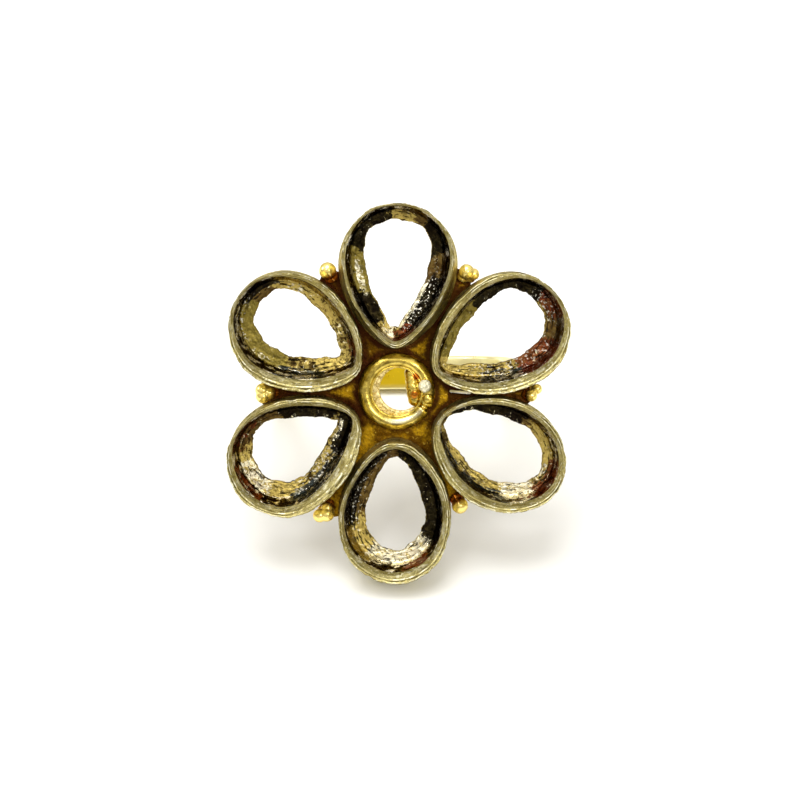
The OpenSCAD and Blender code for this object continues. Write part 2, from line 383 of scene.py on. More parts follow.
def roughened(place, normal, part, seed):
    """A skin point moved by small noise: pits and knocks outside and down into the rim, burrs on the seat."""
    x, y, z = place
    broad = wave(x, y, z, 0.9, seed)
    fine = wave(x, y, z, 0.26, seed + 4.6)
    grit = wave(x, y, z, 0.11, seed + 9.2)
    if part in ("outside", "rim", "groove"):
        dent = min(0.0, wave(x, y, z, 1.7, seed + 6.1))
        lift = ROUGH[part] * (0.8 * broad + 0.7 * fine + 0.4 * grit - 1.1) + 0.12 * dent
        way = normal if part == "outside" else Vector((0, 0, 1))
        return place + way * min(lift, -0.01)
    rise = 0.3 + max(0.0, 0.7 + 1.4 * wave(x, y, 0, 1.4, seed + 2.4))
    return place + normal * ROUGH[part] * rise * (0.9 * broad + 0.7 * fine + 0.4 * grit)


# Painted highlights along the rim's two edges, its dark groove and a painted sheen on the bevel: the stations
# between which each lies and over how many it fades, and how bright the bevel's painted sheen is beside the
# edges
EDGE_HIGHLIGHTS = [(1.06, 1.12, 0.06), (1.42, 1.5, 0.06)]
DARK_GROOVE = (1.24, 1.3, 0.05)
BEVEL_SHEEN = (1.62, 1.9, 0.08)
BEVEL_SHEEN_LEVEL = 0.8


def part_values(labels):
    """How far each point belongs to the rim, the wall, the seat, the rim's painted highlight lines and its
    dark groove.
    """
    values = {name: [] for name in ("rim", "wall", "seat", "highlight_and_groove")}
    for station, part in labels:
        inside = part in ("wall", "seat", "edge")
        # Painted highlights on the rim's edges and its bevel, less the dark groove
        edge_highlight = sum(window(station, *edge) for edge in EDGE_HIGHLIGHTS)
        edge_highlight += BEVEL_SHEEN_LEVEL * window(station, *BEVEL_SHEEN)
        highlight_and_groove = edge_highlight - window(station, *DARK_GROOVE)
        values["rim"] += [1.0 if part in ("rim", "groove") else 0.0] * CUP_STEPS
        values["wall"] += [1.0 if inside else window(station, 2.0, 2.4, 0.05)] * CUP_STEPS
        values["seat"] += [window(station, SEAT_START, 4.0, 0.1) if inside else 0.0] * CUP_STEPS
        values["highlight_and_groove"] += [highlight_and_groove] * CUP_STEPS
    return values


# Streaky noise is read on a thin tube for each cup: its radius, how far apart the tubes stand
# and how far along it one station is
STREAK_R = 1.1
STREAK_APART = 9
STREAK_DOWN = 2.2


def wrapped(k):
    """A cup's points on its tube, on which streaks run along the rim."""
    angles = [2 * math.pi * i / CUP_STEPS for i in range(CUP_STEPS)]
    return [(STREAK_R * math.cos(a) + STREAK_APART * k, STREAK_R * math.sin(a)) for a in angles]


def bezel_cup(k, material):
    node = CUPS[k]
    rows, labels = cup_rows(k)
    n = CUP_STEPS
    faces = []
    for row in range(len(rows)):
        low, high = row * n, ((row + 1) % len(rows)) * n
        faces += [(low + i, low + (i + 1) % n, high + (i + 1) % n, high + i) for i in range(n)]
    mesh = bpy.data.meshes.new(node)
    mesh.from_pydata([p for row in rows for p in row], [], faces)
    mesh.update()
    normals = [v.normal.copy() for v in mesh.vertices]
    moved = []
    for i, v in enumerate(mesh.vertices):
        moved.extend(roughened(v.co, normals[i], labels[i // n][1], 1.3 + k))
    mesh.vertices.foreach_set("co", moved)
    mesh.update()
    for name, row in {**part_values(labels), **stain_values(node, labels)}.items():
        mesh.attributes.new(name, "FLOAT", "POINT").data.foreach_set("value", row)
    streaks = []
    around = wrapped(k)
    for station, _ in labels:
        for x, y in around:
            streaks += (x, y, STREAK_DOWN * station)
    mesh.attributes.new("streak", "FLOAT_VECTOR", "POINT").data.foreach_set("vector", streaks)
    return add_piece(node.replace("cup", "bezel"), mesh, material, [node])


# Fused grains, ring and solder


def ball(bm, x, y, z, radius, squash=1.0):
    made = bmesh.ops.create_icosphere(bm, subdivisions=4, radius=radius)
    for v in made["verts"]:
        v.co.z *= squash
        v.co += Vector((x, y, z))


def fused(bm, voxel, smooth, uneven, seed):
    """One skin over everything in bm, smoothed where pieces meet, with an uneven surface.

    The voxels and the unevenness are in millimetres, and smooth is a number of rounds.
    """
    mesh = bpy.data.meshes.new("loose")
    bm.to_mesh(mesh)
    bm.free()
    made = applied(mesh, [
        ("REMESH", {"mode": "VOXEL", "voxel_size": voxel}),
        ("SMOOTH", {"factor": 0.5, "iterations": smooth}),
    ])
    return unevened(made, uneven, seed)


def unevened(mesh, amount, seed):
    """The mesh with its points moved along their normals by smooth noise."""
    places = [(v.co.copy(), v.normal.copy()) for v in mesh.vertices]
    moved = []
    for at, normal in places:
        x, y, z = at
        moved.extend(at + normal * amount * (wave(x, y, z, 0.5, seed) + 0.6 * wave(x, y, z, 0.18, seed + 4)))
    mesh.vertices.foreach_set("co", moved)
    mesh.update()
    return mesh


def tagged(mesh, name, measure):
    """Gives the mesh a value at each point, worked out from the point's x, y and z."""
    values = [measure(*v.co) for v in mesh.vertices]
    mesh.attributes.new(name, "FLOAT", "POINT").data.foreach_set("value", values)


def grain_cluster(node, grains, material):
    bm = bmesh.new()
    for x, y, r in grains:
        ball(bm, x, y, 0.9 * r, r)
        # Solder run in under the grain, on the side towards the flower's middle
        inward = 1 - 0.75 * r / math.hypot(x, y)
        ball(bm, inward * x, inward * y, 0.2 * r, 0.8 * r, 0.7)
    mesh = fused(bm, voxel=0.035, smooth=5, uneven=0.012, seed=grains[0][0])
    reach = min(math.hypot(x, y) for x, y, r in grains) - 0.5

    def burnt(x, y, z):
        """Burnt towards the flower's middle, where solder ran in, and orange at the foot, which is painted
        shade and reflection.
        """
        return window(math.hypot(x, y), -1, reach, 0.45) + window(z, -1, 0.05, 0.3)

    tagged(mesh, "burnt", burnt)
    return add_piece(node.replace("grains", "gold_grains"), mesh, material, [node])


# How many lumps stand round the middle of the tin's rosette
TIN_LUMPS = 6
# Where the solder is burnt orange
BURNT = [(1.35, 1.05), (1.22, -0.2)]
# Where the ring's wire ends, in degrees, how deep a crease its lower end leaves, as a share of
# the wire, and how many degrees wide that is
WIRE_END = -30.0
CREASE = 0.4
CREASE_WIDE = 3.5
# The thin inner lip of the wire: its share of the wire inward, its radius and its height
LIP_IN = 0.42
LIP_R = 0.09
LIP_H = 0.74
# How far the wire is from round
WIRE_UNEVEN = 0.009


def torus(bm, major, minor, height, crease=0.0, around=240, sides=32):
    """A ring of round wire, flat where it would go below the plate's face, creased at the wire's end."""
    rings = []
    for i in range(around):
        degrees = 360 * i / around
        a = math.radians(degrees)
        off = (degrees - WIRE_END + 180) % 360 - 180
        thin = minor * (1 - crease * math.exp(-(off / CREASE_WIDE) ** 2))
        ring = []
        for k in range(sides):
            b = 2 * math.pi * k / sides
            r = major + thin * math.cos(b)
            z = max(0.0, height + thin * math.sin(b))
            ring.append(bm.verts.new((r * math.cos(a), r * math.sin(a), z)))
        rings.append(ring)
    for i in range(around):
        a, b = rings[i], rings[(i + 1) % around]
        for k in range(sides):
            m = (k + 1) % sides
            bm.faces.new((a[k], b[k], b[m], a[m]))


def bent_wire():
    bm = bmesh.new()
    torus(bm, WIRE_R, WIRE_D / 2, 0.9 * WIRE_D / 2, CREASE)
    torus(bm, WIRE_R - LIP_IN * WIRE_D, LIP_R, LIP_H)
    wire = bpy.data.meshes.new("wire")
    bm.to_mesh(wire)
    bm.free()
    return unevened(wire, WIRE_UNEVEN, 2.2)


def solder_lumps():
    bm = bmesh.new()
    for x, y, z, r in SOLDER:
        ball(bm, x, y, z, r)
    return fused(bm, voxel=0.035, smooth=30, uneven=0.025, seed=2.2)


def tin_rosette():
    """Small lumps in an oval round a higher one, on the first lump of solder."""
    x, y, z, r = SOLDER[0]
    bm = bmesh.new()
    for i in range(TIN_LUMPS):
        a = 2 * math.pi * i / TIN_LUMPS
        away = 0.56 * r * (1 + 0.3 * math.cos(2 * a))
        ball(bm, x + away * math.sin(a), y + away * math.cos(a), z + 0.6 * r, 0.38 * r)
    ball(bm, x, y, z + 0.8 * r, 0.4 * r)
    return fused(bm, voxel=0.025, smooth=1, uneven=0.04, seed=5.1)


def wire_ring(material):
    """The bent wire with its thin inner lip, and the lumps of solder that join its ends."""
    pieces = [bent_wire(), solder_lumps(), tin_rosette()]
    bm = bmesh.new()
    for piece in pieces:
        bm.from_mesh(piece)
    mesh = bpy.data.meshes.new("centre_ring")
    bm.to_mesh(mesh)
    bm.free()
    tin_x, tin_y, tin_z, tin_r = SOLDER[0]
    tin_middle = (tin_x, tin_y, tin_z + 0.25)
    tagged(mesh, "tin", lambda x, y, z: window(math.dist((x, y, z), tin_middle), -1, 0.95 * tin_r, 0.1))

    def stripe(x, y, low, high, soft=0.05):
        """1 between two distances from the wire's middle line, in towards the ring's middle or out."""
        return window(math.hypot(x, y) - WIRE_R, low, high, soft)

    def drawn(x, y, z):
        """Streaks along the wire, a few times longer than they are wide."""
        away = math.hypot(x, y)
        return window(wave(0.3 * x / away, 0.3 * y / away, away - WIRE_R, 0.15, 3.3), 0.12, 9, 0.25)

    def shade_and_dark_reflection(x, y, z):
        """Painted shade in the two hollows beside the wire, and painted dark reflections in streaks on its
        outer half.
        """
        lines = max(stripe(x, y, -0.32, -0.26, 0.04), stripe(x, y, 0.3, 0.4))
        return max(lines, drawn(x, y, z) * stripe(x, y, -0.1, 9))

    def painted_sheen(x, y, z):
        """A painted highlight on a stretch low on the wire's crest."""
        stretch = window(math.degrees(math.atan2(y, x)), -95, -50, 25)
        return 0.85 * stripe(x, y, -0.18, -0.04, 0.1) * stretch * (1 - 0.5 * drawn(x, y, z))

    def burnt(x, y, z):
        """Burnt at two places, less so on the wire's top."""
        spots = max(window(math.hypot(x - px, y - py), -1, 0.12, 0.35) for px, py in BURNT)
        return spots * window(z, -1, 0.8, 0.2)

    tagged(mesh, "shade_and_dark_reflection", shade_and_dark_reflection)
    tagged(mesh, "painted_sheen", painted_sheen)
    tagged(mesh, "burnt", burnt)
    return add_piece("wire_ring", mesh, material, ["centre_ring"])


# Star plate

# The plate has painted shadow round its open slit, between these x and y
SLIT_X = (3.6, 5.4)
SLIT_Y = (-0.7, 0.25)
# How far from a wall the plate has full painted shade, and how wide the painted shade fades out
SHADE_NEAR = 0.1
SHADE_FADE = 0.65


def star_plate(material):
    """The plate with softened edges, and how near each point is to a wall that shades it."""
    bm = bmesh.new()
    bm.from_mesh(frame["nodes"]["base_plate"].data)
    bm.transform(FLOWER.inverted())
    flat = fused(bm, voxel=0.06, smooth=2, uneven=0.014, seed=6.5)
    walls = [pear(FEET[k], math.radians(2 * i)) for k in range(len(FEET)) for i in range(180)]
    outer = WIRE_R + WIRE_D / 2
    round_ring = [math.radians(6 * i) for i in range(60)]
    walls += [(outer * math.cos(a), outer * math.sin(a)) for a in round_ring]
    tree = kdtree.KDTree(len(walls))
    for i, (x, y) in enumerate(walls):
        tree.insert((x, y, 0), i)
    tree.balance()

    def shade(x, y, z):
        """Painted shade beside the walls, deeper in the upper half, and painted shadow round the slit."""
        if math.hypot(x, y) < WIRE_R:
            return 0.0
        strength = window(y, -1.0, 99, 2.0) * 0.5 + 0.5
        slit_shadow = window(x, SLIT_X[0], SLIT_X[1], 0.15) * window(y, SLIT_Y[0], SLIT_Y[1], 0.12)
        from_wall = tree.find((x, y, 0))[2]
        return max(slit_shadow, strength * window(from_wall, -1, SHADE_NEAR, SHADE_FADE))

    tagged(flat, "shade", shade)
    tagged(flat, "bare", lambda x, y, z: window(math.hypot(x, y), -1, WIRE_R, 0.1))
    return add_piece("star_plate", flat, material, ["base_plate"])


# Finger band


# Points along the band's shoulder, its side, its corner and half its back
SHOULDER_STEPS = 16
SIDE_STEPS = 20
CORNER_STEPS = 24
BACK_STEPS = 12


def band_path():
    """The middle of the band's thickness, as x and z with the way out, from plate to plate."""
    r = BAND_CORNER - BAND_T / 2
    half = BAND_IN / 2 + BAND_T / 2
    low = -BAND_DEEP - BAND_T / 2
    high = BAND_SHOULDER - BAND_T / 2
    start = math.asin(-(high - r) / r)
    quarter = math.pi / 2
    path = []
    for i in range(SHOULDER_STEPS + 1):
        a = start * (1 - i / SHOULDER_STEPS)
        path.append((half - r + r * math.cos(a), high - r + r * math.sin(a), a))
    side_low = low + r
    for i in range(1, SIDE_STEPS):
        path.append((half, high - r + (side_low - high + r) * i / SIDE_STEPS, 0.0))
    for i in range(CORNER_STEPS + 1):
        a = -quarter * i / CORNER_STEPS
        path.append((half - r + r * math.cos(a), side_low + r * math.sin(a), a))
    for i in range(1, BACK_STEPS):
        path.append(((half - r) * (1 - i / BACK_STEPS), low, -quarter))
    mirrored = [(-x, z, math.pi - a) for x, z, a in reversed(path)]
    return path + [(0.0, low, -quarter)] + mirrored


# The band's inner face is yellow this far to each side of the middle, and fades to a painted pale sheen
YELLOW_HALF = 2.0
YELLOW_FADE = 2.6
# How much painted pale sheen its other faces have
OUTER_SHEEN = 0.5
# How round the band's long edges are, in how many steps, and how long the stretches of its
# section are at most
BAND_EDGE = 0.16
EDGE_STEPS = 4
BAND_STEP = 0.22


def band_section():
    """The band's section as points across its thickness and its width, with rounded corners."""
    section = []
    for sx, sy, first in ((1, 1, 0), (-1, 1, 90), (-1, -1, 180), (1, -1, 270)):
        for k in range(EDGE_STEPS + 1):
            a = math.radians(first + 90 * k / EDGE_STEPS)
            section.append((sx * (BAND_T / 2 - BAND_EDGE) + BAND_EDGE * math.cos(a),
                            sy * (BAND_W / 2 - BAND_EDGE) + BAND_EDGE * math.sin(a), 0))
    return resampled(section + section[:1], BAND_STEP)[:-1]


def finger_band(material):
    """The flat band, from one end under the plate round to the other, with how much painted pale sheen each
    point has.
    """
    top = -PLATE_T - 2 * SEAT_GAP
    section = band_section()
    bm = bmesh.new()
    rings, painted_sheen = [], []
    for x, z, a in band_path():
        ring = []
        for t, w, _ in section:
            px, pz = x + t * math.cos(a), z + t * math.sin(a)
            inner_face = window(t, -BAND_T, 0.02 - BAND_T / 2, 0.1)
            # The low edge gets painted pale light too, which lightens the shade under the band
            low_edge = window(w, -BAND_W, 0.1 - BAND_W / 2, 0.1) * window(t, -BAND_T, -BAND_T / 4, 0.2)
            inner_sheen = 1 - window(abs(px), -1, YELLOW_HALF, YELLOW_FADE)
            painted_sheen.append(max(low_edge, inner_face * inner_sheen + (1 - inner_face) * OUTER_SHEEN))
            lift = 0.02 * wave(px, w, pz, 1.6, 8.0) + 0.008 * wave(px, w, pz, 0.5, 2.0)
            height = min(pz + lift * math.sin(a), 0) + top
            ring.append(bm.verts.new((px + lift * math.cos(a), w + lift, height)))
        rings.append(ring)
    count = len(section)
    for a, b in zip(rings, rings[1:]):
        for k in range(count):
            m = (k + 1) % count
            bm.faces.new((a[k], a[m], b[m], b[k]))
    bm.faces.new(list(reversed(rings[0])))
    bm.faces.new(rings[-1])
    mesh = bpy.data.meshes.new("shank")
    bm.to_mesh(mesh)
    bm.free()
    mesh.attributes.new("painted_sheen", "FLOAT", "POINT").data.foreach_set("value", painted_sheen)
    return add_piece("finger_band", mesh, material, ["shank"])


# Materials


class Nodes:
    """A material's node tree, with short calls for the nodes that these materials share."""

    def __init__(self, name):
        self.material = bpy.data.materials.new(name)
        self.material.use_nodes = True
        self.tree = self.material.node_tree
        self.shader = self.tree.nodes["Principled BSDF"]
        coordinates = self.tree.nodes.new("ShaderNodeTexCoord")
        scaled = self.tree.nodes.new("ShaderNodeMapping")
        scaled.inputs["Scale"].default_value = (1 / MM, 1 / MM, 1 / MM)
        self.link(coordinates.outputs["Object"], scaled.inputs["Vector"])
        self.place = scaled.outputs["Vector"]

    def link(self, a, b):
        self.tree.links.new(a, b)

    def noise(self, size, detail=4.0, rough=0.6, distortion=0.0, over=None):
        """Noise whose features are about size millimetres across, over the object or a vector attribute."""
        node = self.tree.nodes.new("ShaderNodeTexNoise")
        node.inputs["Scale"].default_value = 1 / size
        node.inputs["Detail"].default_value = detail
        node.inputs["Roughness"].default_value = rough
        node.inputs["Distortion"].default_value = distortion
        place = self.place
        if over:
            laid = self.tree.nodes.new("ShaderNodeAttribute")
            laid.attribute_name = over
            place = laid.outputs["Vector"]
        self.link(place, node.inputs["Vector"])
        return node.outputs["Fac"]

    def level(self, value, low, high, to_low=0.0, to_high=1.0):
        node = self.tree.nodes.new("ShaderNodeMapRange")
        node.interpolation_type = "SMOOTHSTEP"
        node.inputs["From Min"].default_value = low
        node.inputs["From Max"].default_value = high
        node.inputs["To Min"].default_value = to_low
        node.inputs["To Max"].default_value = to_high
        self.link(value, node.inputs["Value"])
        return node.outputs["Result"]

    def math(self, kind, a, b):
        node = self.tree.nodes.new("ShaderNodeMath")
        node.operation = kind
        for socket, value in zip(node.inputs, (a, b)):
            if isinstance(value, (int, float)):
                socket.default_value = value
            else:
                self.link(value, socket)
        return node.outputs["Value"]

    def mix(self, factor, a, b):
        node = self.tree.nodes.new("ShaderNodeMix")
        node.data_type = "RGBA"
        self.link(factor, node.inputs["Factor"])
        for socket, value in ((node.inputs["A"], a), (node.inputs["B"], b)):
            if isinstance(value, tuple):
                socket.default_value = (*value, 1)
            else:
                self.link(value, socket)
        return node.outputs["Result"]

    def attribute(self, name):
        node = self.tree.nodes.new("ShaderNodeAttribute")
        node.attribute_name = name
        return node.outputs["Fac"]

    def bump(self, height, depth, before=None):
        """Relief of about depth millimetres."""
        node = self.tree.nodes.new("ShaderNodeBump")
        node.inputs["Distance"].default_value = depth * MM
        node.inputs["Strength"].default_value = 1.0
        self.link(height, node.inputs["Height"])
        if before:
            self.link(before, node.inputs["Normal"])
        return node.outputs["Normal"]


# Tints of the stains inside the cups, with how fully each covers
TINTS = {
    "brown": ((0.10, 0.055, 0.015), 0.85),
    "olive": ((0.22, 0.17, 0.032), 0.85),
    "gold": ((0.56, 0.42, 0.11), 0.9),
    "dark": ((0.004, 0.003, 0.003), 0.95),
    "teal": ((0.030, 0.042, 0.046), 0.85),
    "copper": ((0.16, 0.036, 0.014), 0.9),
    # The silver tint is a pale silvery tone in part, and painted highlights and glints in part
    "silver": ((0.95, 0.88, 0.64), 0.95),
}
# The noise that breaks up each kind of stain, and how strongly
STAIN_BREAKS = {
    "brown": ("blots", 3.5),
    "olive": ("blots", 2.5),
    "gold": ("chips_and_glints", 4.0),
    "dark": ("blots", -2.5),
    "teal": ("streaks", 4.0),
    "copper": ("blots", 5.0),
    "silver": ("chips_and_glints", -5.5),
}


def cup_noises(n):
    """The noises that the skins of a cup share. Streaks, scratches and streaks of painted glint run along the
    rim.
    """
    return {
        "blots": n.noise(0.45, 5.0, 0.7),
        "grain": n.noise(0.2, 4.0, 0.65),
        "chips_and_glints": n.noise(0.32, 5.0, 0.72, 0.8),
        "dots": n.noise(0.15, 3.0, 0.6),
        "broken": n.noise(0.8, 3.0, 0.6),
        "glints": n.noise(0.16, 2.0, 0.5),
        "streaks": n.noise(0.45, 4.0, 0.65, 0.3, "streak"),
        "scratches_and_glints": n.noise(0.24, 3.0, 0.6, 0.2, "streak"),
    }


def outside_skin(n, f):
    """Streaky grey-gold with bright dots and dark blots."""
    colour = n.mix(n.level(f["streaks"], 0.38, 0.60), (0.27, 0.21, 0.06), (0.74, 0.65, 0.28))
    colour = n.mix(n.level(f["dots"], 0.57, 0.66), colour, (0.95, 0.88, 0.54))
    return n.mix(n.level(f["blots"], 0.58, 0.70, 0.0, 0.8), colour, (0.08, 0.055, 0.015))


def rim_skin(n, f):
    """Mottled grey-gold with short marks and painted glints, painted highlights along its edges and dark in
    its groove.
    """
    mottle = n.math("MULTIPLY", n.math("ADD", f["streaks"], f["chips_and_glints"]), 0.5)
    colour = n.mix(n.level(mottle, 0.42, 0.57), (0.29, 0.235, 0.072), (0.70, 0.62, 0.28))
    colour = n.mix(n.level(f["chips_and_glints"], 0.54, 0.62, 0.0, 0.7), colour, (0.18, 0.14, 0.04))
    # Near-white flecks: painted glints
    colour = n.mix(n.level(f["grain"], 0.58, 0.66, 0.0, 0.85), colour, (1.0, 0.96, 0.70))
    colour = n.mix(n.level(f["scratches_and_glints"], 0.57, 0.65, 0.0, 0.55), colour, (0.09, 0.068, 0.02))
    # Near-white painted highlights along the rim's edges and bevel, and the dark groove
    highlight_and_groove = n.math("MULTIPLY", n.attribute("highlight_and_groove"), n.level(f["broken"], 0.44, 0.54))
    highlight_and_groove = n.math("MULTIPLY", highlight_and_groove, f["blots"])
    colour = n.mix(n.level(highlight_and_groove, 0.3, 0.6, 0.0, 0.85), colour, (1.0, 0.98, 0.76))
    return n.mix(n.level(highlight_and_groove, -0.25, -0.5, 0.0, 0.85), colour, (0.06, 0.042, 0.014))


def wall_skin(n, f):
    """Near black, with painted glints in long pale streaks."""
    colour = n.mix(n.level(f["blots"], 0.48, 0.64), (0.003, 0.0025, 0.002), (0.12, 0.085, 0.03))
    # Pale streaks on the black wall: painted glints
    return n.mix(n.level(f["scratches_and_glints"], 0.525, 0.57, 0.0, 0.95), colour, (0.98, 0.92, 0.74))


def seat_skin(n, f):
    """Rough gold and brown with dark lines and painted glints."""
    colour = n.mix(n.level(f["blots"], 0.42, 0.58), (0.07, 0.042, 0.011), (0.50, 0.375, 0.10))
    colour = n.mix(n.level(f["scratches_and_glints"], 0.45, 0.38), colour, (0.010, 0.007, 0.003))
    # Bright chips: painted glints
    return n.mix(n.level(f["chips_and_glints"], 0.58, 0.64), colour, (0.98, 0.88, 0.52))


def inner_shares(n, f):
    """How far each place belongs to the wall and to the seat, with ragged edges."""
    ragged = n.math("ADD", n.math("SUBTRACT", f["blots"], 0.5), n.math("SUBTRACT", f["streaks"], 0.5))
    wall = n.math("ADD", n.attribute("wall"), n.math("MULTIPLY", ragged, 0.5))
    seat = n.math("ADD", n.attribute("seat"), n.math("MULTIPLY", ragged, 1.2))
    return n.level(wall, 0.42, 0.6), n.level(seat, 0.4, 0.62)


def stained(n, f, colour):
    """The colour under all the stains, and how far each kind of stain covers it."""
    shares = {}
    for kind, (field, contrast) in STAIN_BREAKS.items():
        tint, cover = TINTS[kind]
        uneven = n.math("ADD", n.math("MULTIPLY", n.math("SUBTRACT", f[field], 0.5), contrast), 1.0)
        shares[kind] = n.level(n.math("MULTIPLY", n.attribute(kind), uneven), 0.42, 0.58, 0.0, cover)
        colour = n.mix(shares[kind], colour, tint)
    return colour, shares


def marked(n, f, colour, rough_seat):
    """The colour with the dark lines, and the painted glints on chips and specks, that lie over the stains
    too.
    """
    lined = n.math("MULTIPLY", n.level(f["scratches_and_glints"], 0.46, 0.39, 0.0, 0.9), rough_seat)
    colour = n.mix(lined, colour, (0.012, 0.008, 0.003))
    # Bright chips over the stains: painted glints
    chip_glints = n.math("MULTIPLY", n.level(f["chips_and_glints"], 0.63, 0.67, 0.0, 0.9), rough_seat)
    colour = n.mix(chip_glints, colour, (0.98, 0.88, 0.56))
    # Painted glints where the glint specks lie
    glints = n.math("MULTIPLY", n.level(f["glints"], 0.58, 0.65), n.attribute("glint_specks"))
    return n.mix(glints, colour, (0.86, 0.83, 0.72))


def cup_metal():
    """Grey-gold metal, scratched on the rim with painted highlights along its edges, black inside with
    painted glints, rough gold on the seat.
    """
    n = Nodes("cup_metal")
    f = cup_noises(n)
    colour = n.mix(n.attribute("rim"), outside_skin(n, f), rim_skin(n, f))
    wall_share, seat_share = inner_shares(n, f)
    colour = n.mix(wall_share, colour, wall_skin(n, f))
    colour = n.mix(seat_share, colour, seat_skin(n, f))
    colour, shares = stained(n, f, colour)
    rough_seat = n.math("MULTIPLY", seat_share, n.math("SUBTRACT", 1.0, shares["olive"]))
    colour = marked(n, f, colour, rough_seat)
    n.link(colour, n.shader.inputs["Base Color"])
    n.shader.inputs["Metallic"].default_value = 1.0
    n.shader.inputs["Specular Tint"].default_value = (0.50, 0.45, 0.36, 1)
    # The black places are glossier
    bare_wall = n.math("MULTIPLY", wall_share, n.math("SUBTRACT", 1.0, seat_share))
    black = n.math("MAXIMUM", bare_wall, n.math("MAXIMUM", shares["dark"], shares["teal"]))
    worn = n.level(f["blots"], 0.3, 0.7, 0.30, 0.48)
    n.link(n.math("SUBTRACT", worn, n.math("MULTIPLY", black, 0.16)), n.shader.inputs["Roughness"])
    normal = n.bump(f["blots"], 0.08)
    normal = n.bump(f["streaks"], 0.05, normal)
    normal = n.bump(f["grain"], 0.025, normal)
    n.link(normal, n.shader.inputs["Normal"])
    return n.material


# The golds of the painted sheen and highlight that a piece's attribute lays over its own, and the tin of the
# solder
SHEEN_GOLD = (0.86, 0.79, 0.42)
HIGHLIGHT_GOLD = (1.0, 0.94, 0.66)
TIN = (1.0, 0.95, 0.70)


def gold_metal(name, base, dark, dark_share, uneven, rough, metallic, painted_sheen=SHEEN_GOLD, tinned=False):
    """Polished yellow gold with a darker tone over part of it, painted shade and dark reflections and a
    painted sheen where a piece marks them, burnt where it was soldered.

    The dark share is how much of the dark tone shows, which is painted shade and dark reflection, and uneven
    is the relief in millimetres.
    """
    n = Nodes(name)
    broad = n.noise(0.9, 4.0, 0.6)
    fine = n.noise(0.18, 4.0, 0.6)
    # A broad darker tone: painted shade and dark reflection
    colour = n.mix(n.level(broad, 0.62 - dark_share, 0.9 - dark_share), base, dark)
    colour = n.mix(n.level(fine, 0.60, 0.75), colour, tuple(min(1.0, 1.25 * c) for c in base))
    burnt = n.math("MULTIPLY", n.attribute("burnt"), n.level(fine, 0.3, 0.6, 0.6, 1.1))
    colour = n.mix(n.level(burnt, 0.2, 0.9), colour, (0.50, 0.15, 0.012))
    # Painted shade in the wire's hollows and painted dark reflections
    shade_and_dark_reflection = n.math("MULTIPLY", n.attribute("shade_and_dark_reflection"), n.level(broad, 0.35, 0.6, 0.1, 0.45))
    colour = n.mix(shade_and_dark_reflection, colour, (0.20, 0.15, 0.028))
    # Painted sheen and highlight
    colour = n.mix(n.attribute("painted_sheen"), colour, painted_sheen)
    worn = n.level(broad, 0.3, 0.7, rough, rough + 0.14)
    relief = None
    n.shader.inputs["Metallic"].default_value = metallic
    if tinned:
        tin = n.level(n.attribute("tin"), 0.3, 0.8)
        colour = n.mix(tin, colour, TIN)
        worn = n.math("ADD", worn, n.math("MULTIPLY", tin, 0.2))
        relief = n.bump(n.math("MULTIPLY", tin, fine), 0.16)
        lost = n.math("MULTIPLY", tin, 0.75)
        n.link(n.math("MULTIPLY", n.math("SUBTRACT", 1.0, lost), metallic), n.shader.inputs["Metallic"])
    n.link(colour, n.shader.inputs["Base Color"])
    n.link(worn, n.shader.inputs["Roughness"])
    n.link(n.bump(fine, uneven, relief), n.shader.inputs["Normal"])
    return n.material


def plate_metal():
    """Gold-brown plate, with painted maroon shade along the walls and round the slit, bare inside the ring.
    """
    n = Nodes("plate_gold")
    broad = n.noise(1.3, 4.0, 0.6)
    fine = n.noise(0.2, 4.0, 0.65)
    colour = n.mix(n.level(broad, 0.42, 0.58), (0.42, 0.235, 0.008), (0.12, 0.055, 0.003))
    colour = n.mix(n.level(fine, 0.59, 0.68, 0.0, 0.85), colour, (0.86, 0.58, 0.08))
    # Painted shade: maroon near the walls and round the slit
    painted_shade = n.math("ADD", n.attribute("shade"), n.math("MULTIPLY", n.math("SUBTRACT", fine, 0.5), 0.9))
    colour = n.mix(n.level(painted_shade, 0.25, 0.85, 0.0, 0.95), colour, (0.034, 0.008, 0.003))
    bare = n.mix(n.level(fine, 0.4, 0.6), (0.55, 0.39, 0.10), (0.92, 0.76, 0.36))
    colour = n.mix(n.attribute("bare"), colour, bare)
    n.link(colour, n.shader.inputs["Base Color"])
    n.shader.inputs["Metallic"].default_value = 1.0
    n.link(n.level(fine, 0.3, 0.7, 0.22, 0.42), n.shader.inputs["Roughness"])
    n.link(n.bump(fine, 0.022, n.bump(broad, 0.1)), n.shader.inputs["Normal"])
    return n.material


def floor_paper():
    n = Nodes("floor_paper")
    grain = n.noise(6.0)
    n.link(n.mix(grain, (0.86, 0.86, 0.86), (0.88, 0.88, 0.88)), n.shader.inputs["Base Color"])
    n.shader.inputs["Roughness"].default_value = 0.9
    n.shader.inputs["Specular IOR Level"].default_value = 0.2
    return n.material


# Stage, light and camera


# Half the floor's width in metres
FLOOR_HALF = 1.5


def floor():
    bm = bmesh.new()
    square = ((-1, -1), (1, -1), (1, 1), (-1, 1))
    corners = [bm.verts.new((x * FLOOR_HALF, y * FLOOR_HALF, 0)) for x, y in square]
    bm.faces.new(corners)
    mesh = bpy.data.meshes.new("floor")
    bm.to_mesh(mesh)
    bm.free()
    made = bpy.data.objects.new("floor", mesh)
    bpy.context.collection.objects.link(made)
    mesh.materials.append(floor_paper())


def area_light(name, place, target, size, power, colour=(1, 1, 1)):
    data = bpy.data.lights.new(name, "AREA")
    data.shape = "DISK"
    data.size = size
    data.energy = power
    data.color = colour
    lamp = bpy.data.objects.new(name, data)
    bpy.context.collection.objects.link(lamp)
    lamp.location = place
    lamp.rotation_euler = (Vector(target) - Vector(place)).to_track_quat("-Z", "Y").to_euler()


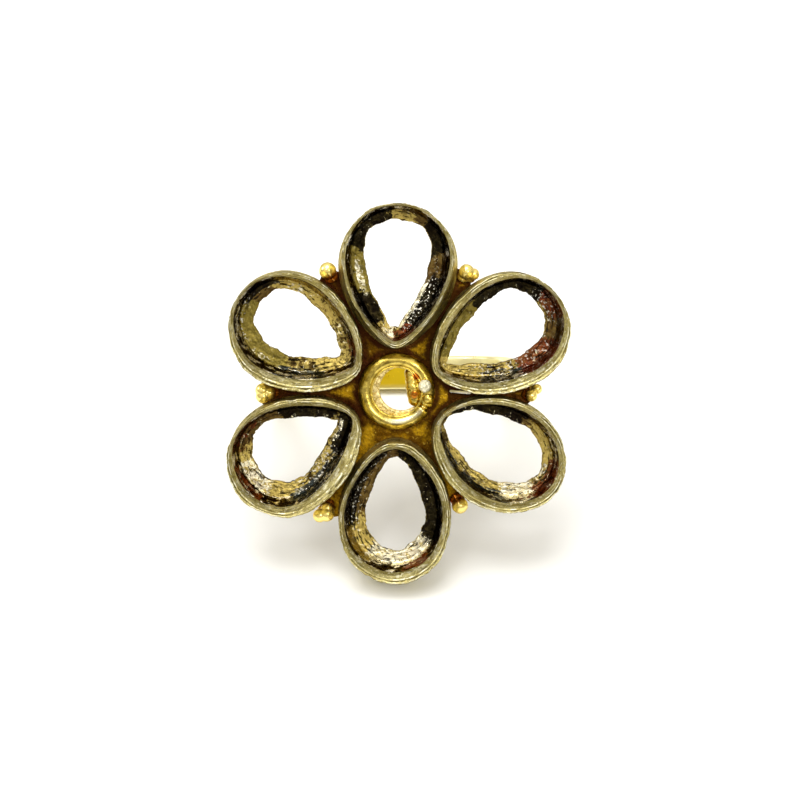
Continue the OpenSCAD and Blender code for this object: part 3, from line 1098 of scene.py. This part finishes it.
def lights():
    middle = FLOWER.translation
    area_light("overhead", (-0.05, -0.03, 0.40), middle, 0.26, 0.9)
    area_light("spark", (-0.10, -0.22, 0.35), middle, 0.03, 0.10)
    area_light("front", (0.16, -0.34, 0.30), middle, 0.14, 0.35)
    area_light("side", (-0.36, 0.05, 0.22), middle, 0.14, 0.30)
    world = bpy.data.worlds.new("studio")
    bpy.context.scene.world = world
    world.use_nodes = True
    nodes, links = world.node_tree.nodes, world.node_tree.links
    where = nodes.new("ShaderNodeTexCoord")
    parts = nodes.new("ShaderNodeSeparateXYZ")
    links.new(where.outputs["Generated"], parts.inputs["Vector"])
    # The studio is bright overhead and darker towards its walls
    height = nodes.new("ShaderNodeMapRange")
    height.inputs["From Min"].default_value = 0.0
    height.inputs["From Max"].default_value = 0.9
    height.inputs["To Min"].default_value = 0.32
    height.inputs["To Max"].default_value = 1.20
    links.new(parts.outputs["Z"], height.inputs["Value"])
    links.new(height.outputs["Result"], nodes["Background"].inputs["Strength"])
    nodes["Background"].inputs["Color"].default_value = (1.0, 0.975, 0.91, 1)


def camera():
    rise = math.asin(FACE.z) + math.radians(CAMERA_OVER_FACE)
    turn = math.radians(CAMERA_AZIMUTH)
    out = Vector((math.sin(turn) * math.cos(rise), -math.cos(turn) * math.cos(rise), math.sin(rise)))
    right = Vector((math.cos(turn), math.sin(turn), 0))
    up = out.cross(right)
    middle = FLOWER.translation
    off_x = (PHOTO_W / 2 - MIDDLE_PX[0]) / PX_MM * MM
    off_y = (MIDDLE_PX[1] - PHOTO_W / 2) / PX_MM * MM
    target = middle + right * off_x + up * off_y
    data = bpy.data.cameras.new("camera")
    data.sensor_width = SENSOR
    data.lens = SENSOR * CAMERA_DIST * PX_MM / PHOTO_W
    data.clip_start = 0.005
    made = bpy.data.objects.new("camera", data)
    bpy.context.collection.objects.link(made)
    made.location = target + out * CAMERA_DIST * MM
    made.rotation_euler = Matrix((right, up, out)).transposed().to_euler()
    bpy.context.scene.camera = made


def dress():
    cups = cup_metal()
    # Each gold's dark tone is painted shade and reflection: dark bands on the ring, orange shading on the
    # grains
    ring_gold = gold_metal(
        "ring_gold", base=(0.80, 0.60, 0.12), dark=(0.22, 0.14, 0.016), dark_share=0.16,
        uneven=0.010, rough=0.13, metallic=1.0, painted_sheen=HIGHLIGHT_GOLD, tinned=True)
    grain_gold = gold_metal(
        "grain_gold", base=(1.0, 0.79, 0.25), dark=(0.78, 0.42, 0.04), dark_share=0.06,
        uneven=0.006, rough=0.16, metallic=0.9)
    band_gold = gold_metal(
        "band_gold", base=(0.78, 0.55, 0.010), dark=(0.68, 0.47, 0.010), dark_share=0.0,
        uneven=0.003, rough=0.26, metallic=0.7)
    for k in range(len(CUPS)):
        bezel_cup(k, cups)
    for node, grains in GRAINS:
        grain_cluster(node, grains, grain_gold)
    wire_ring(ring_gold)
    finger_band(band_gold)
    star_plate(plate_metal())


dress()
floor()
lights()
camera()
bpy.context.scene.view_settings.view_transform = "Standard"
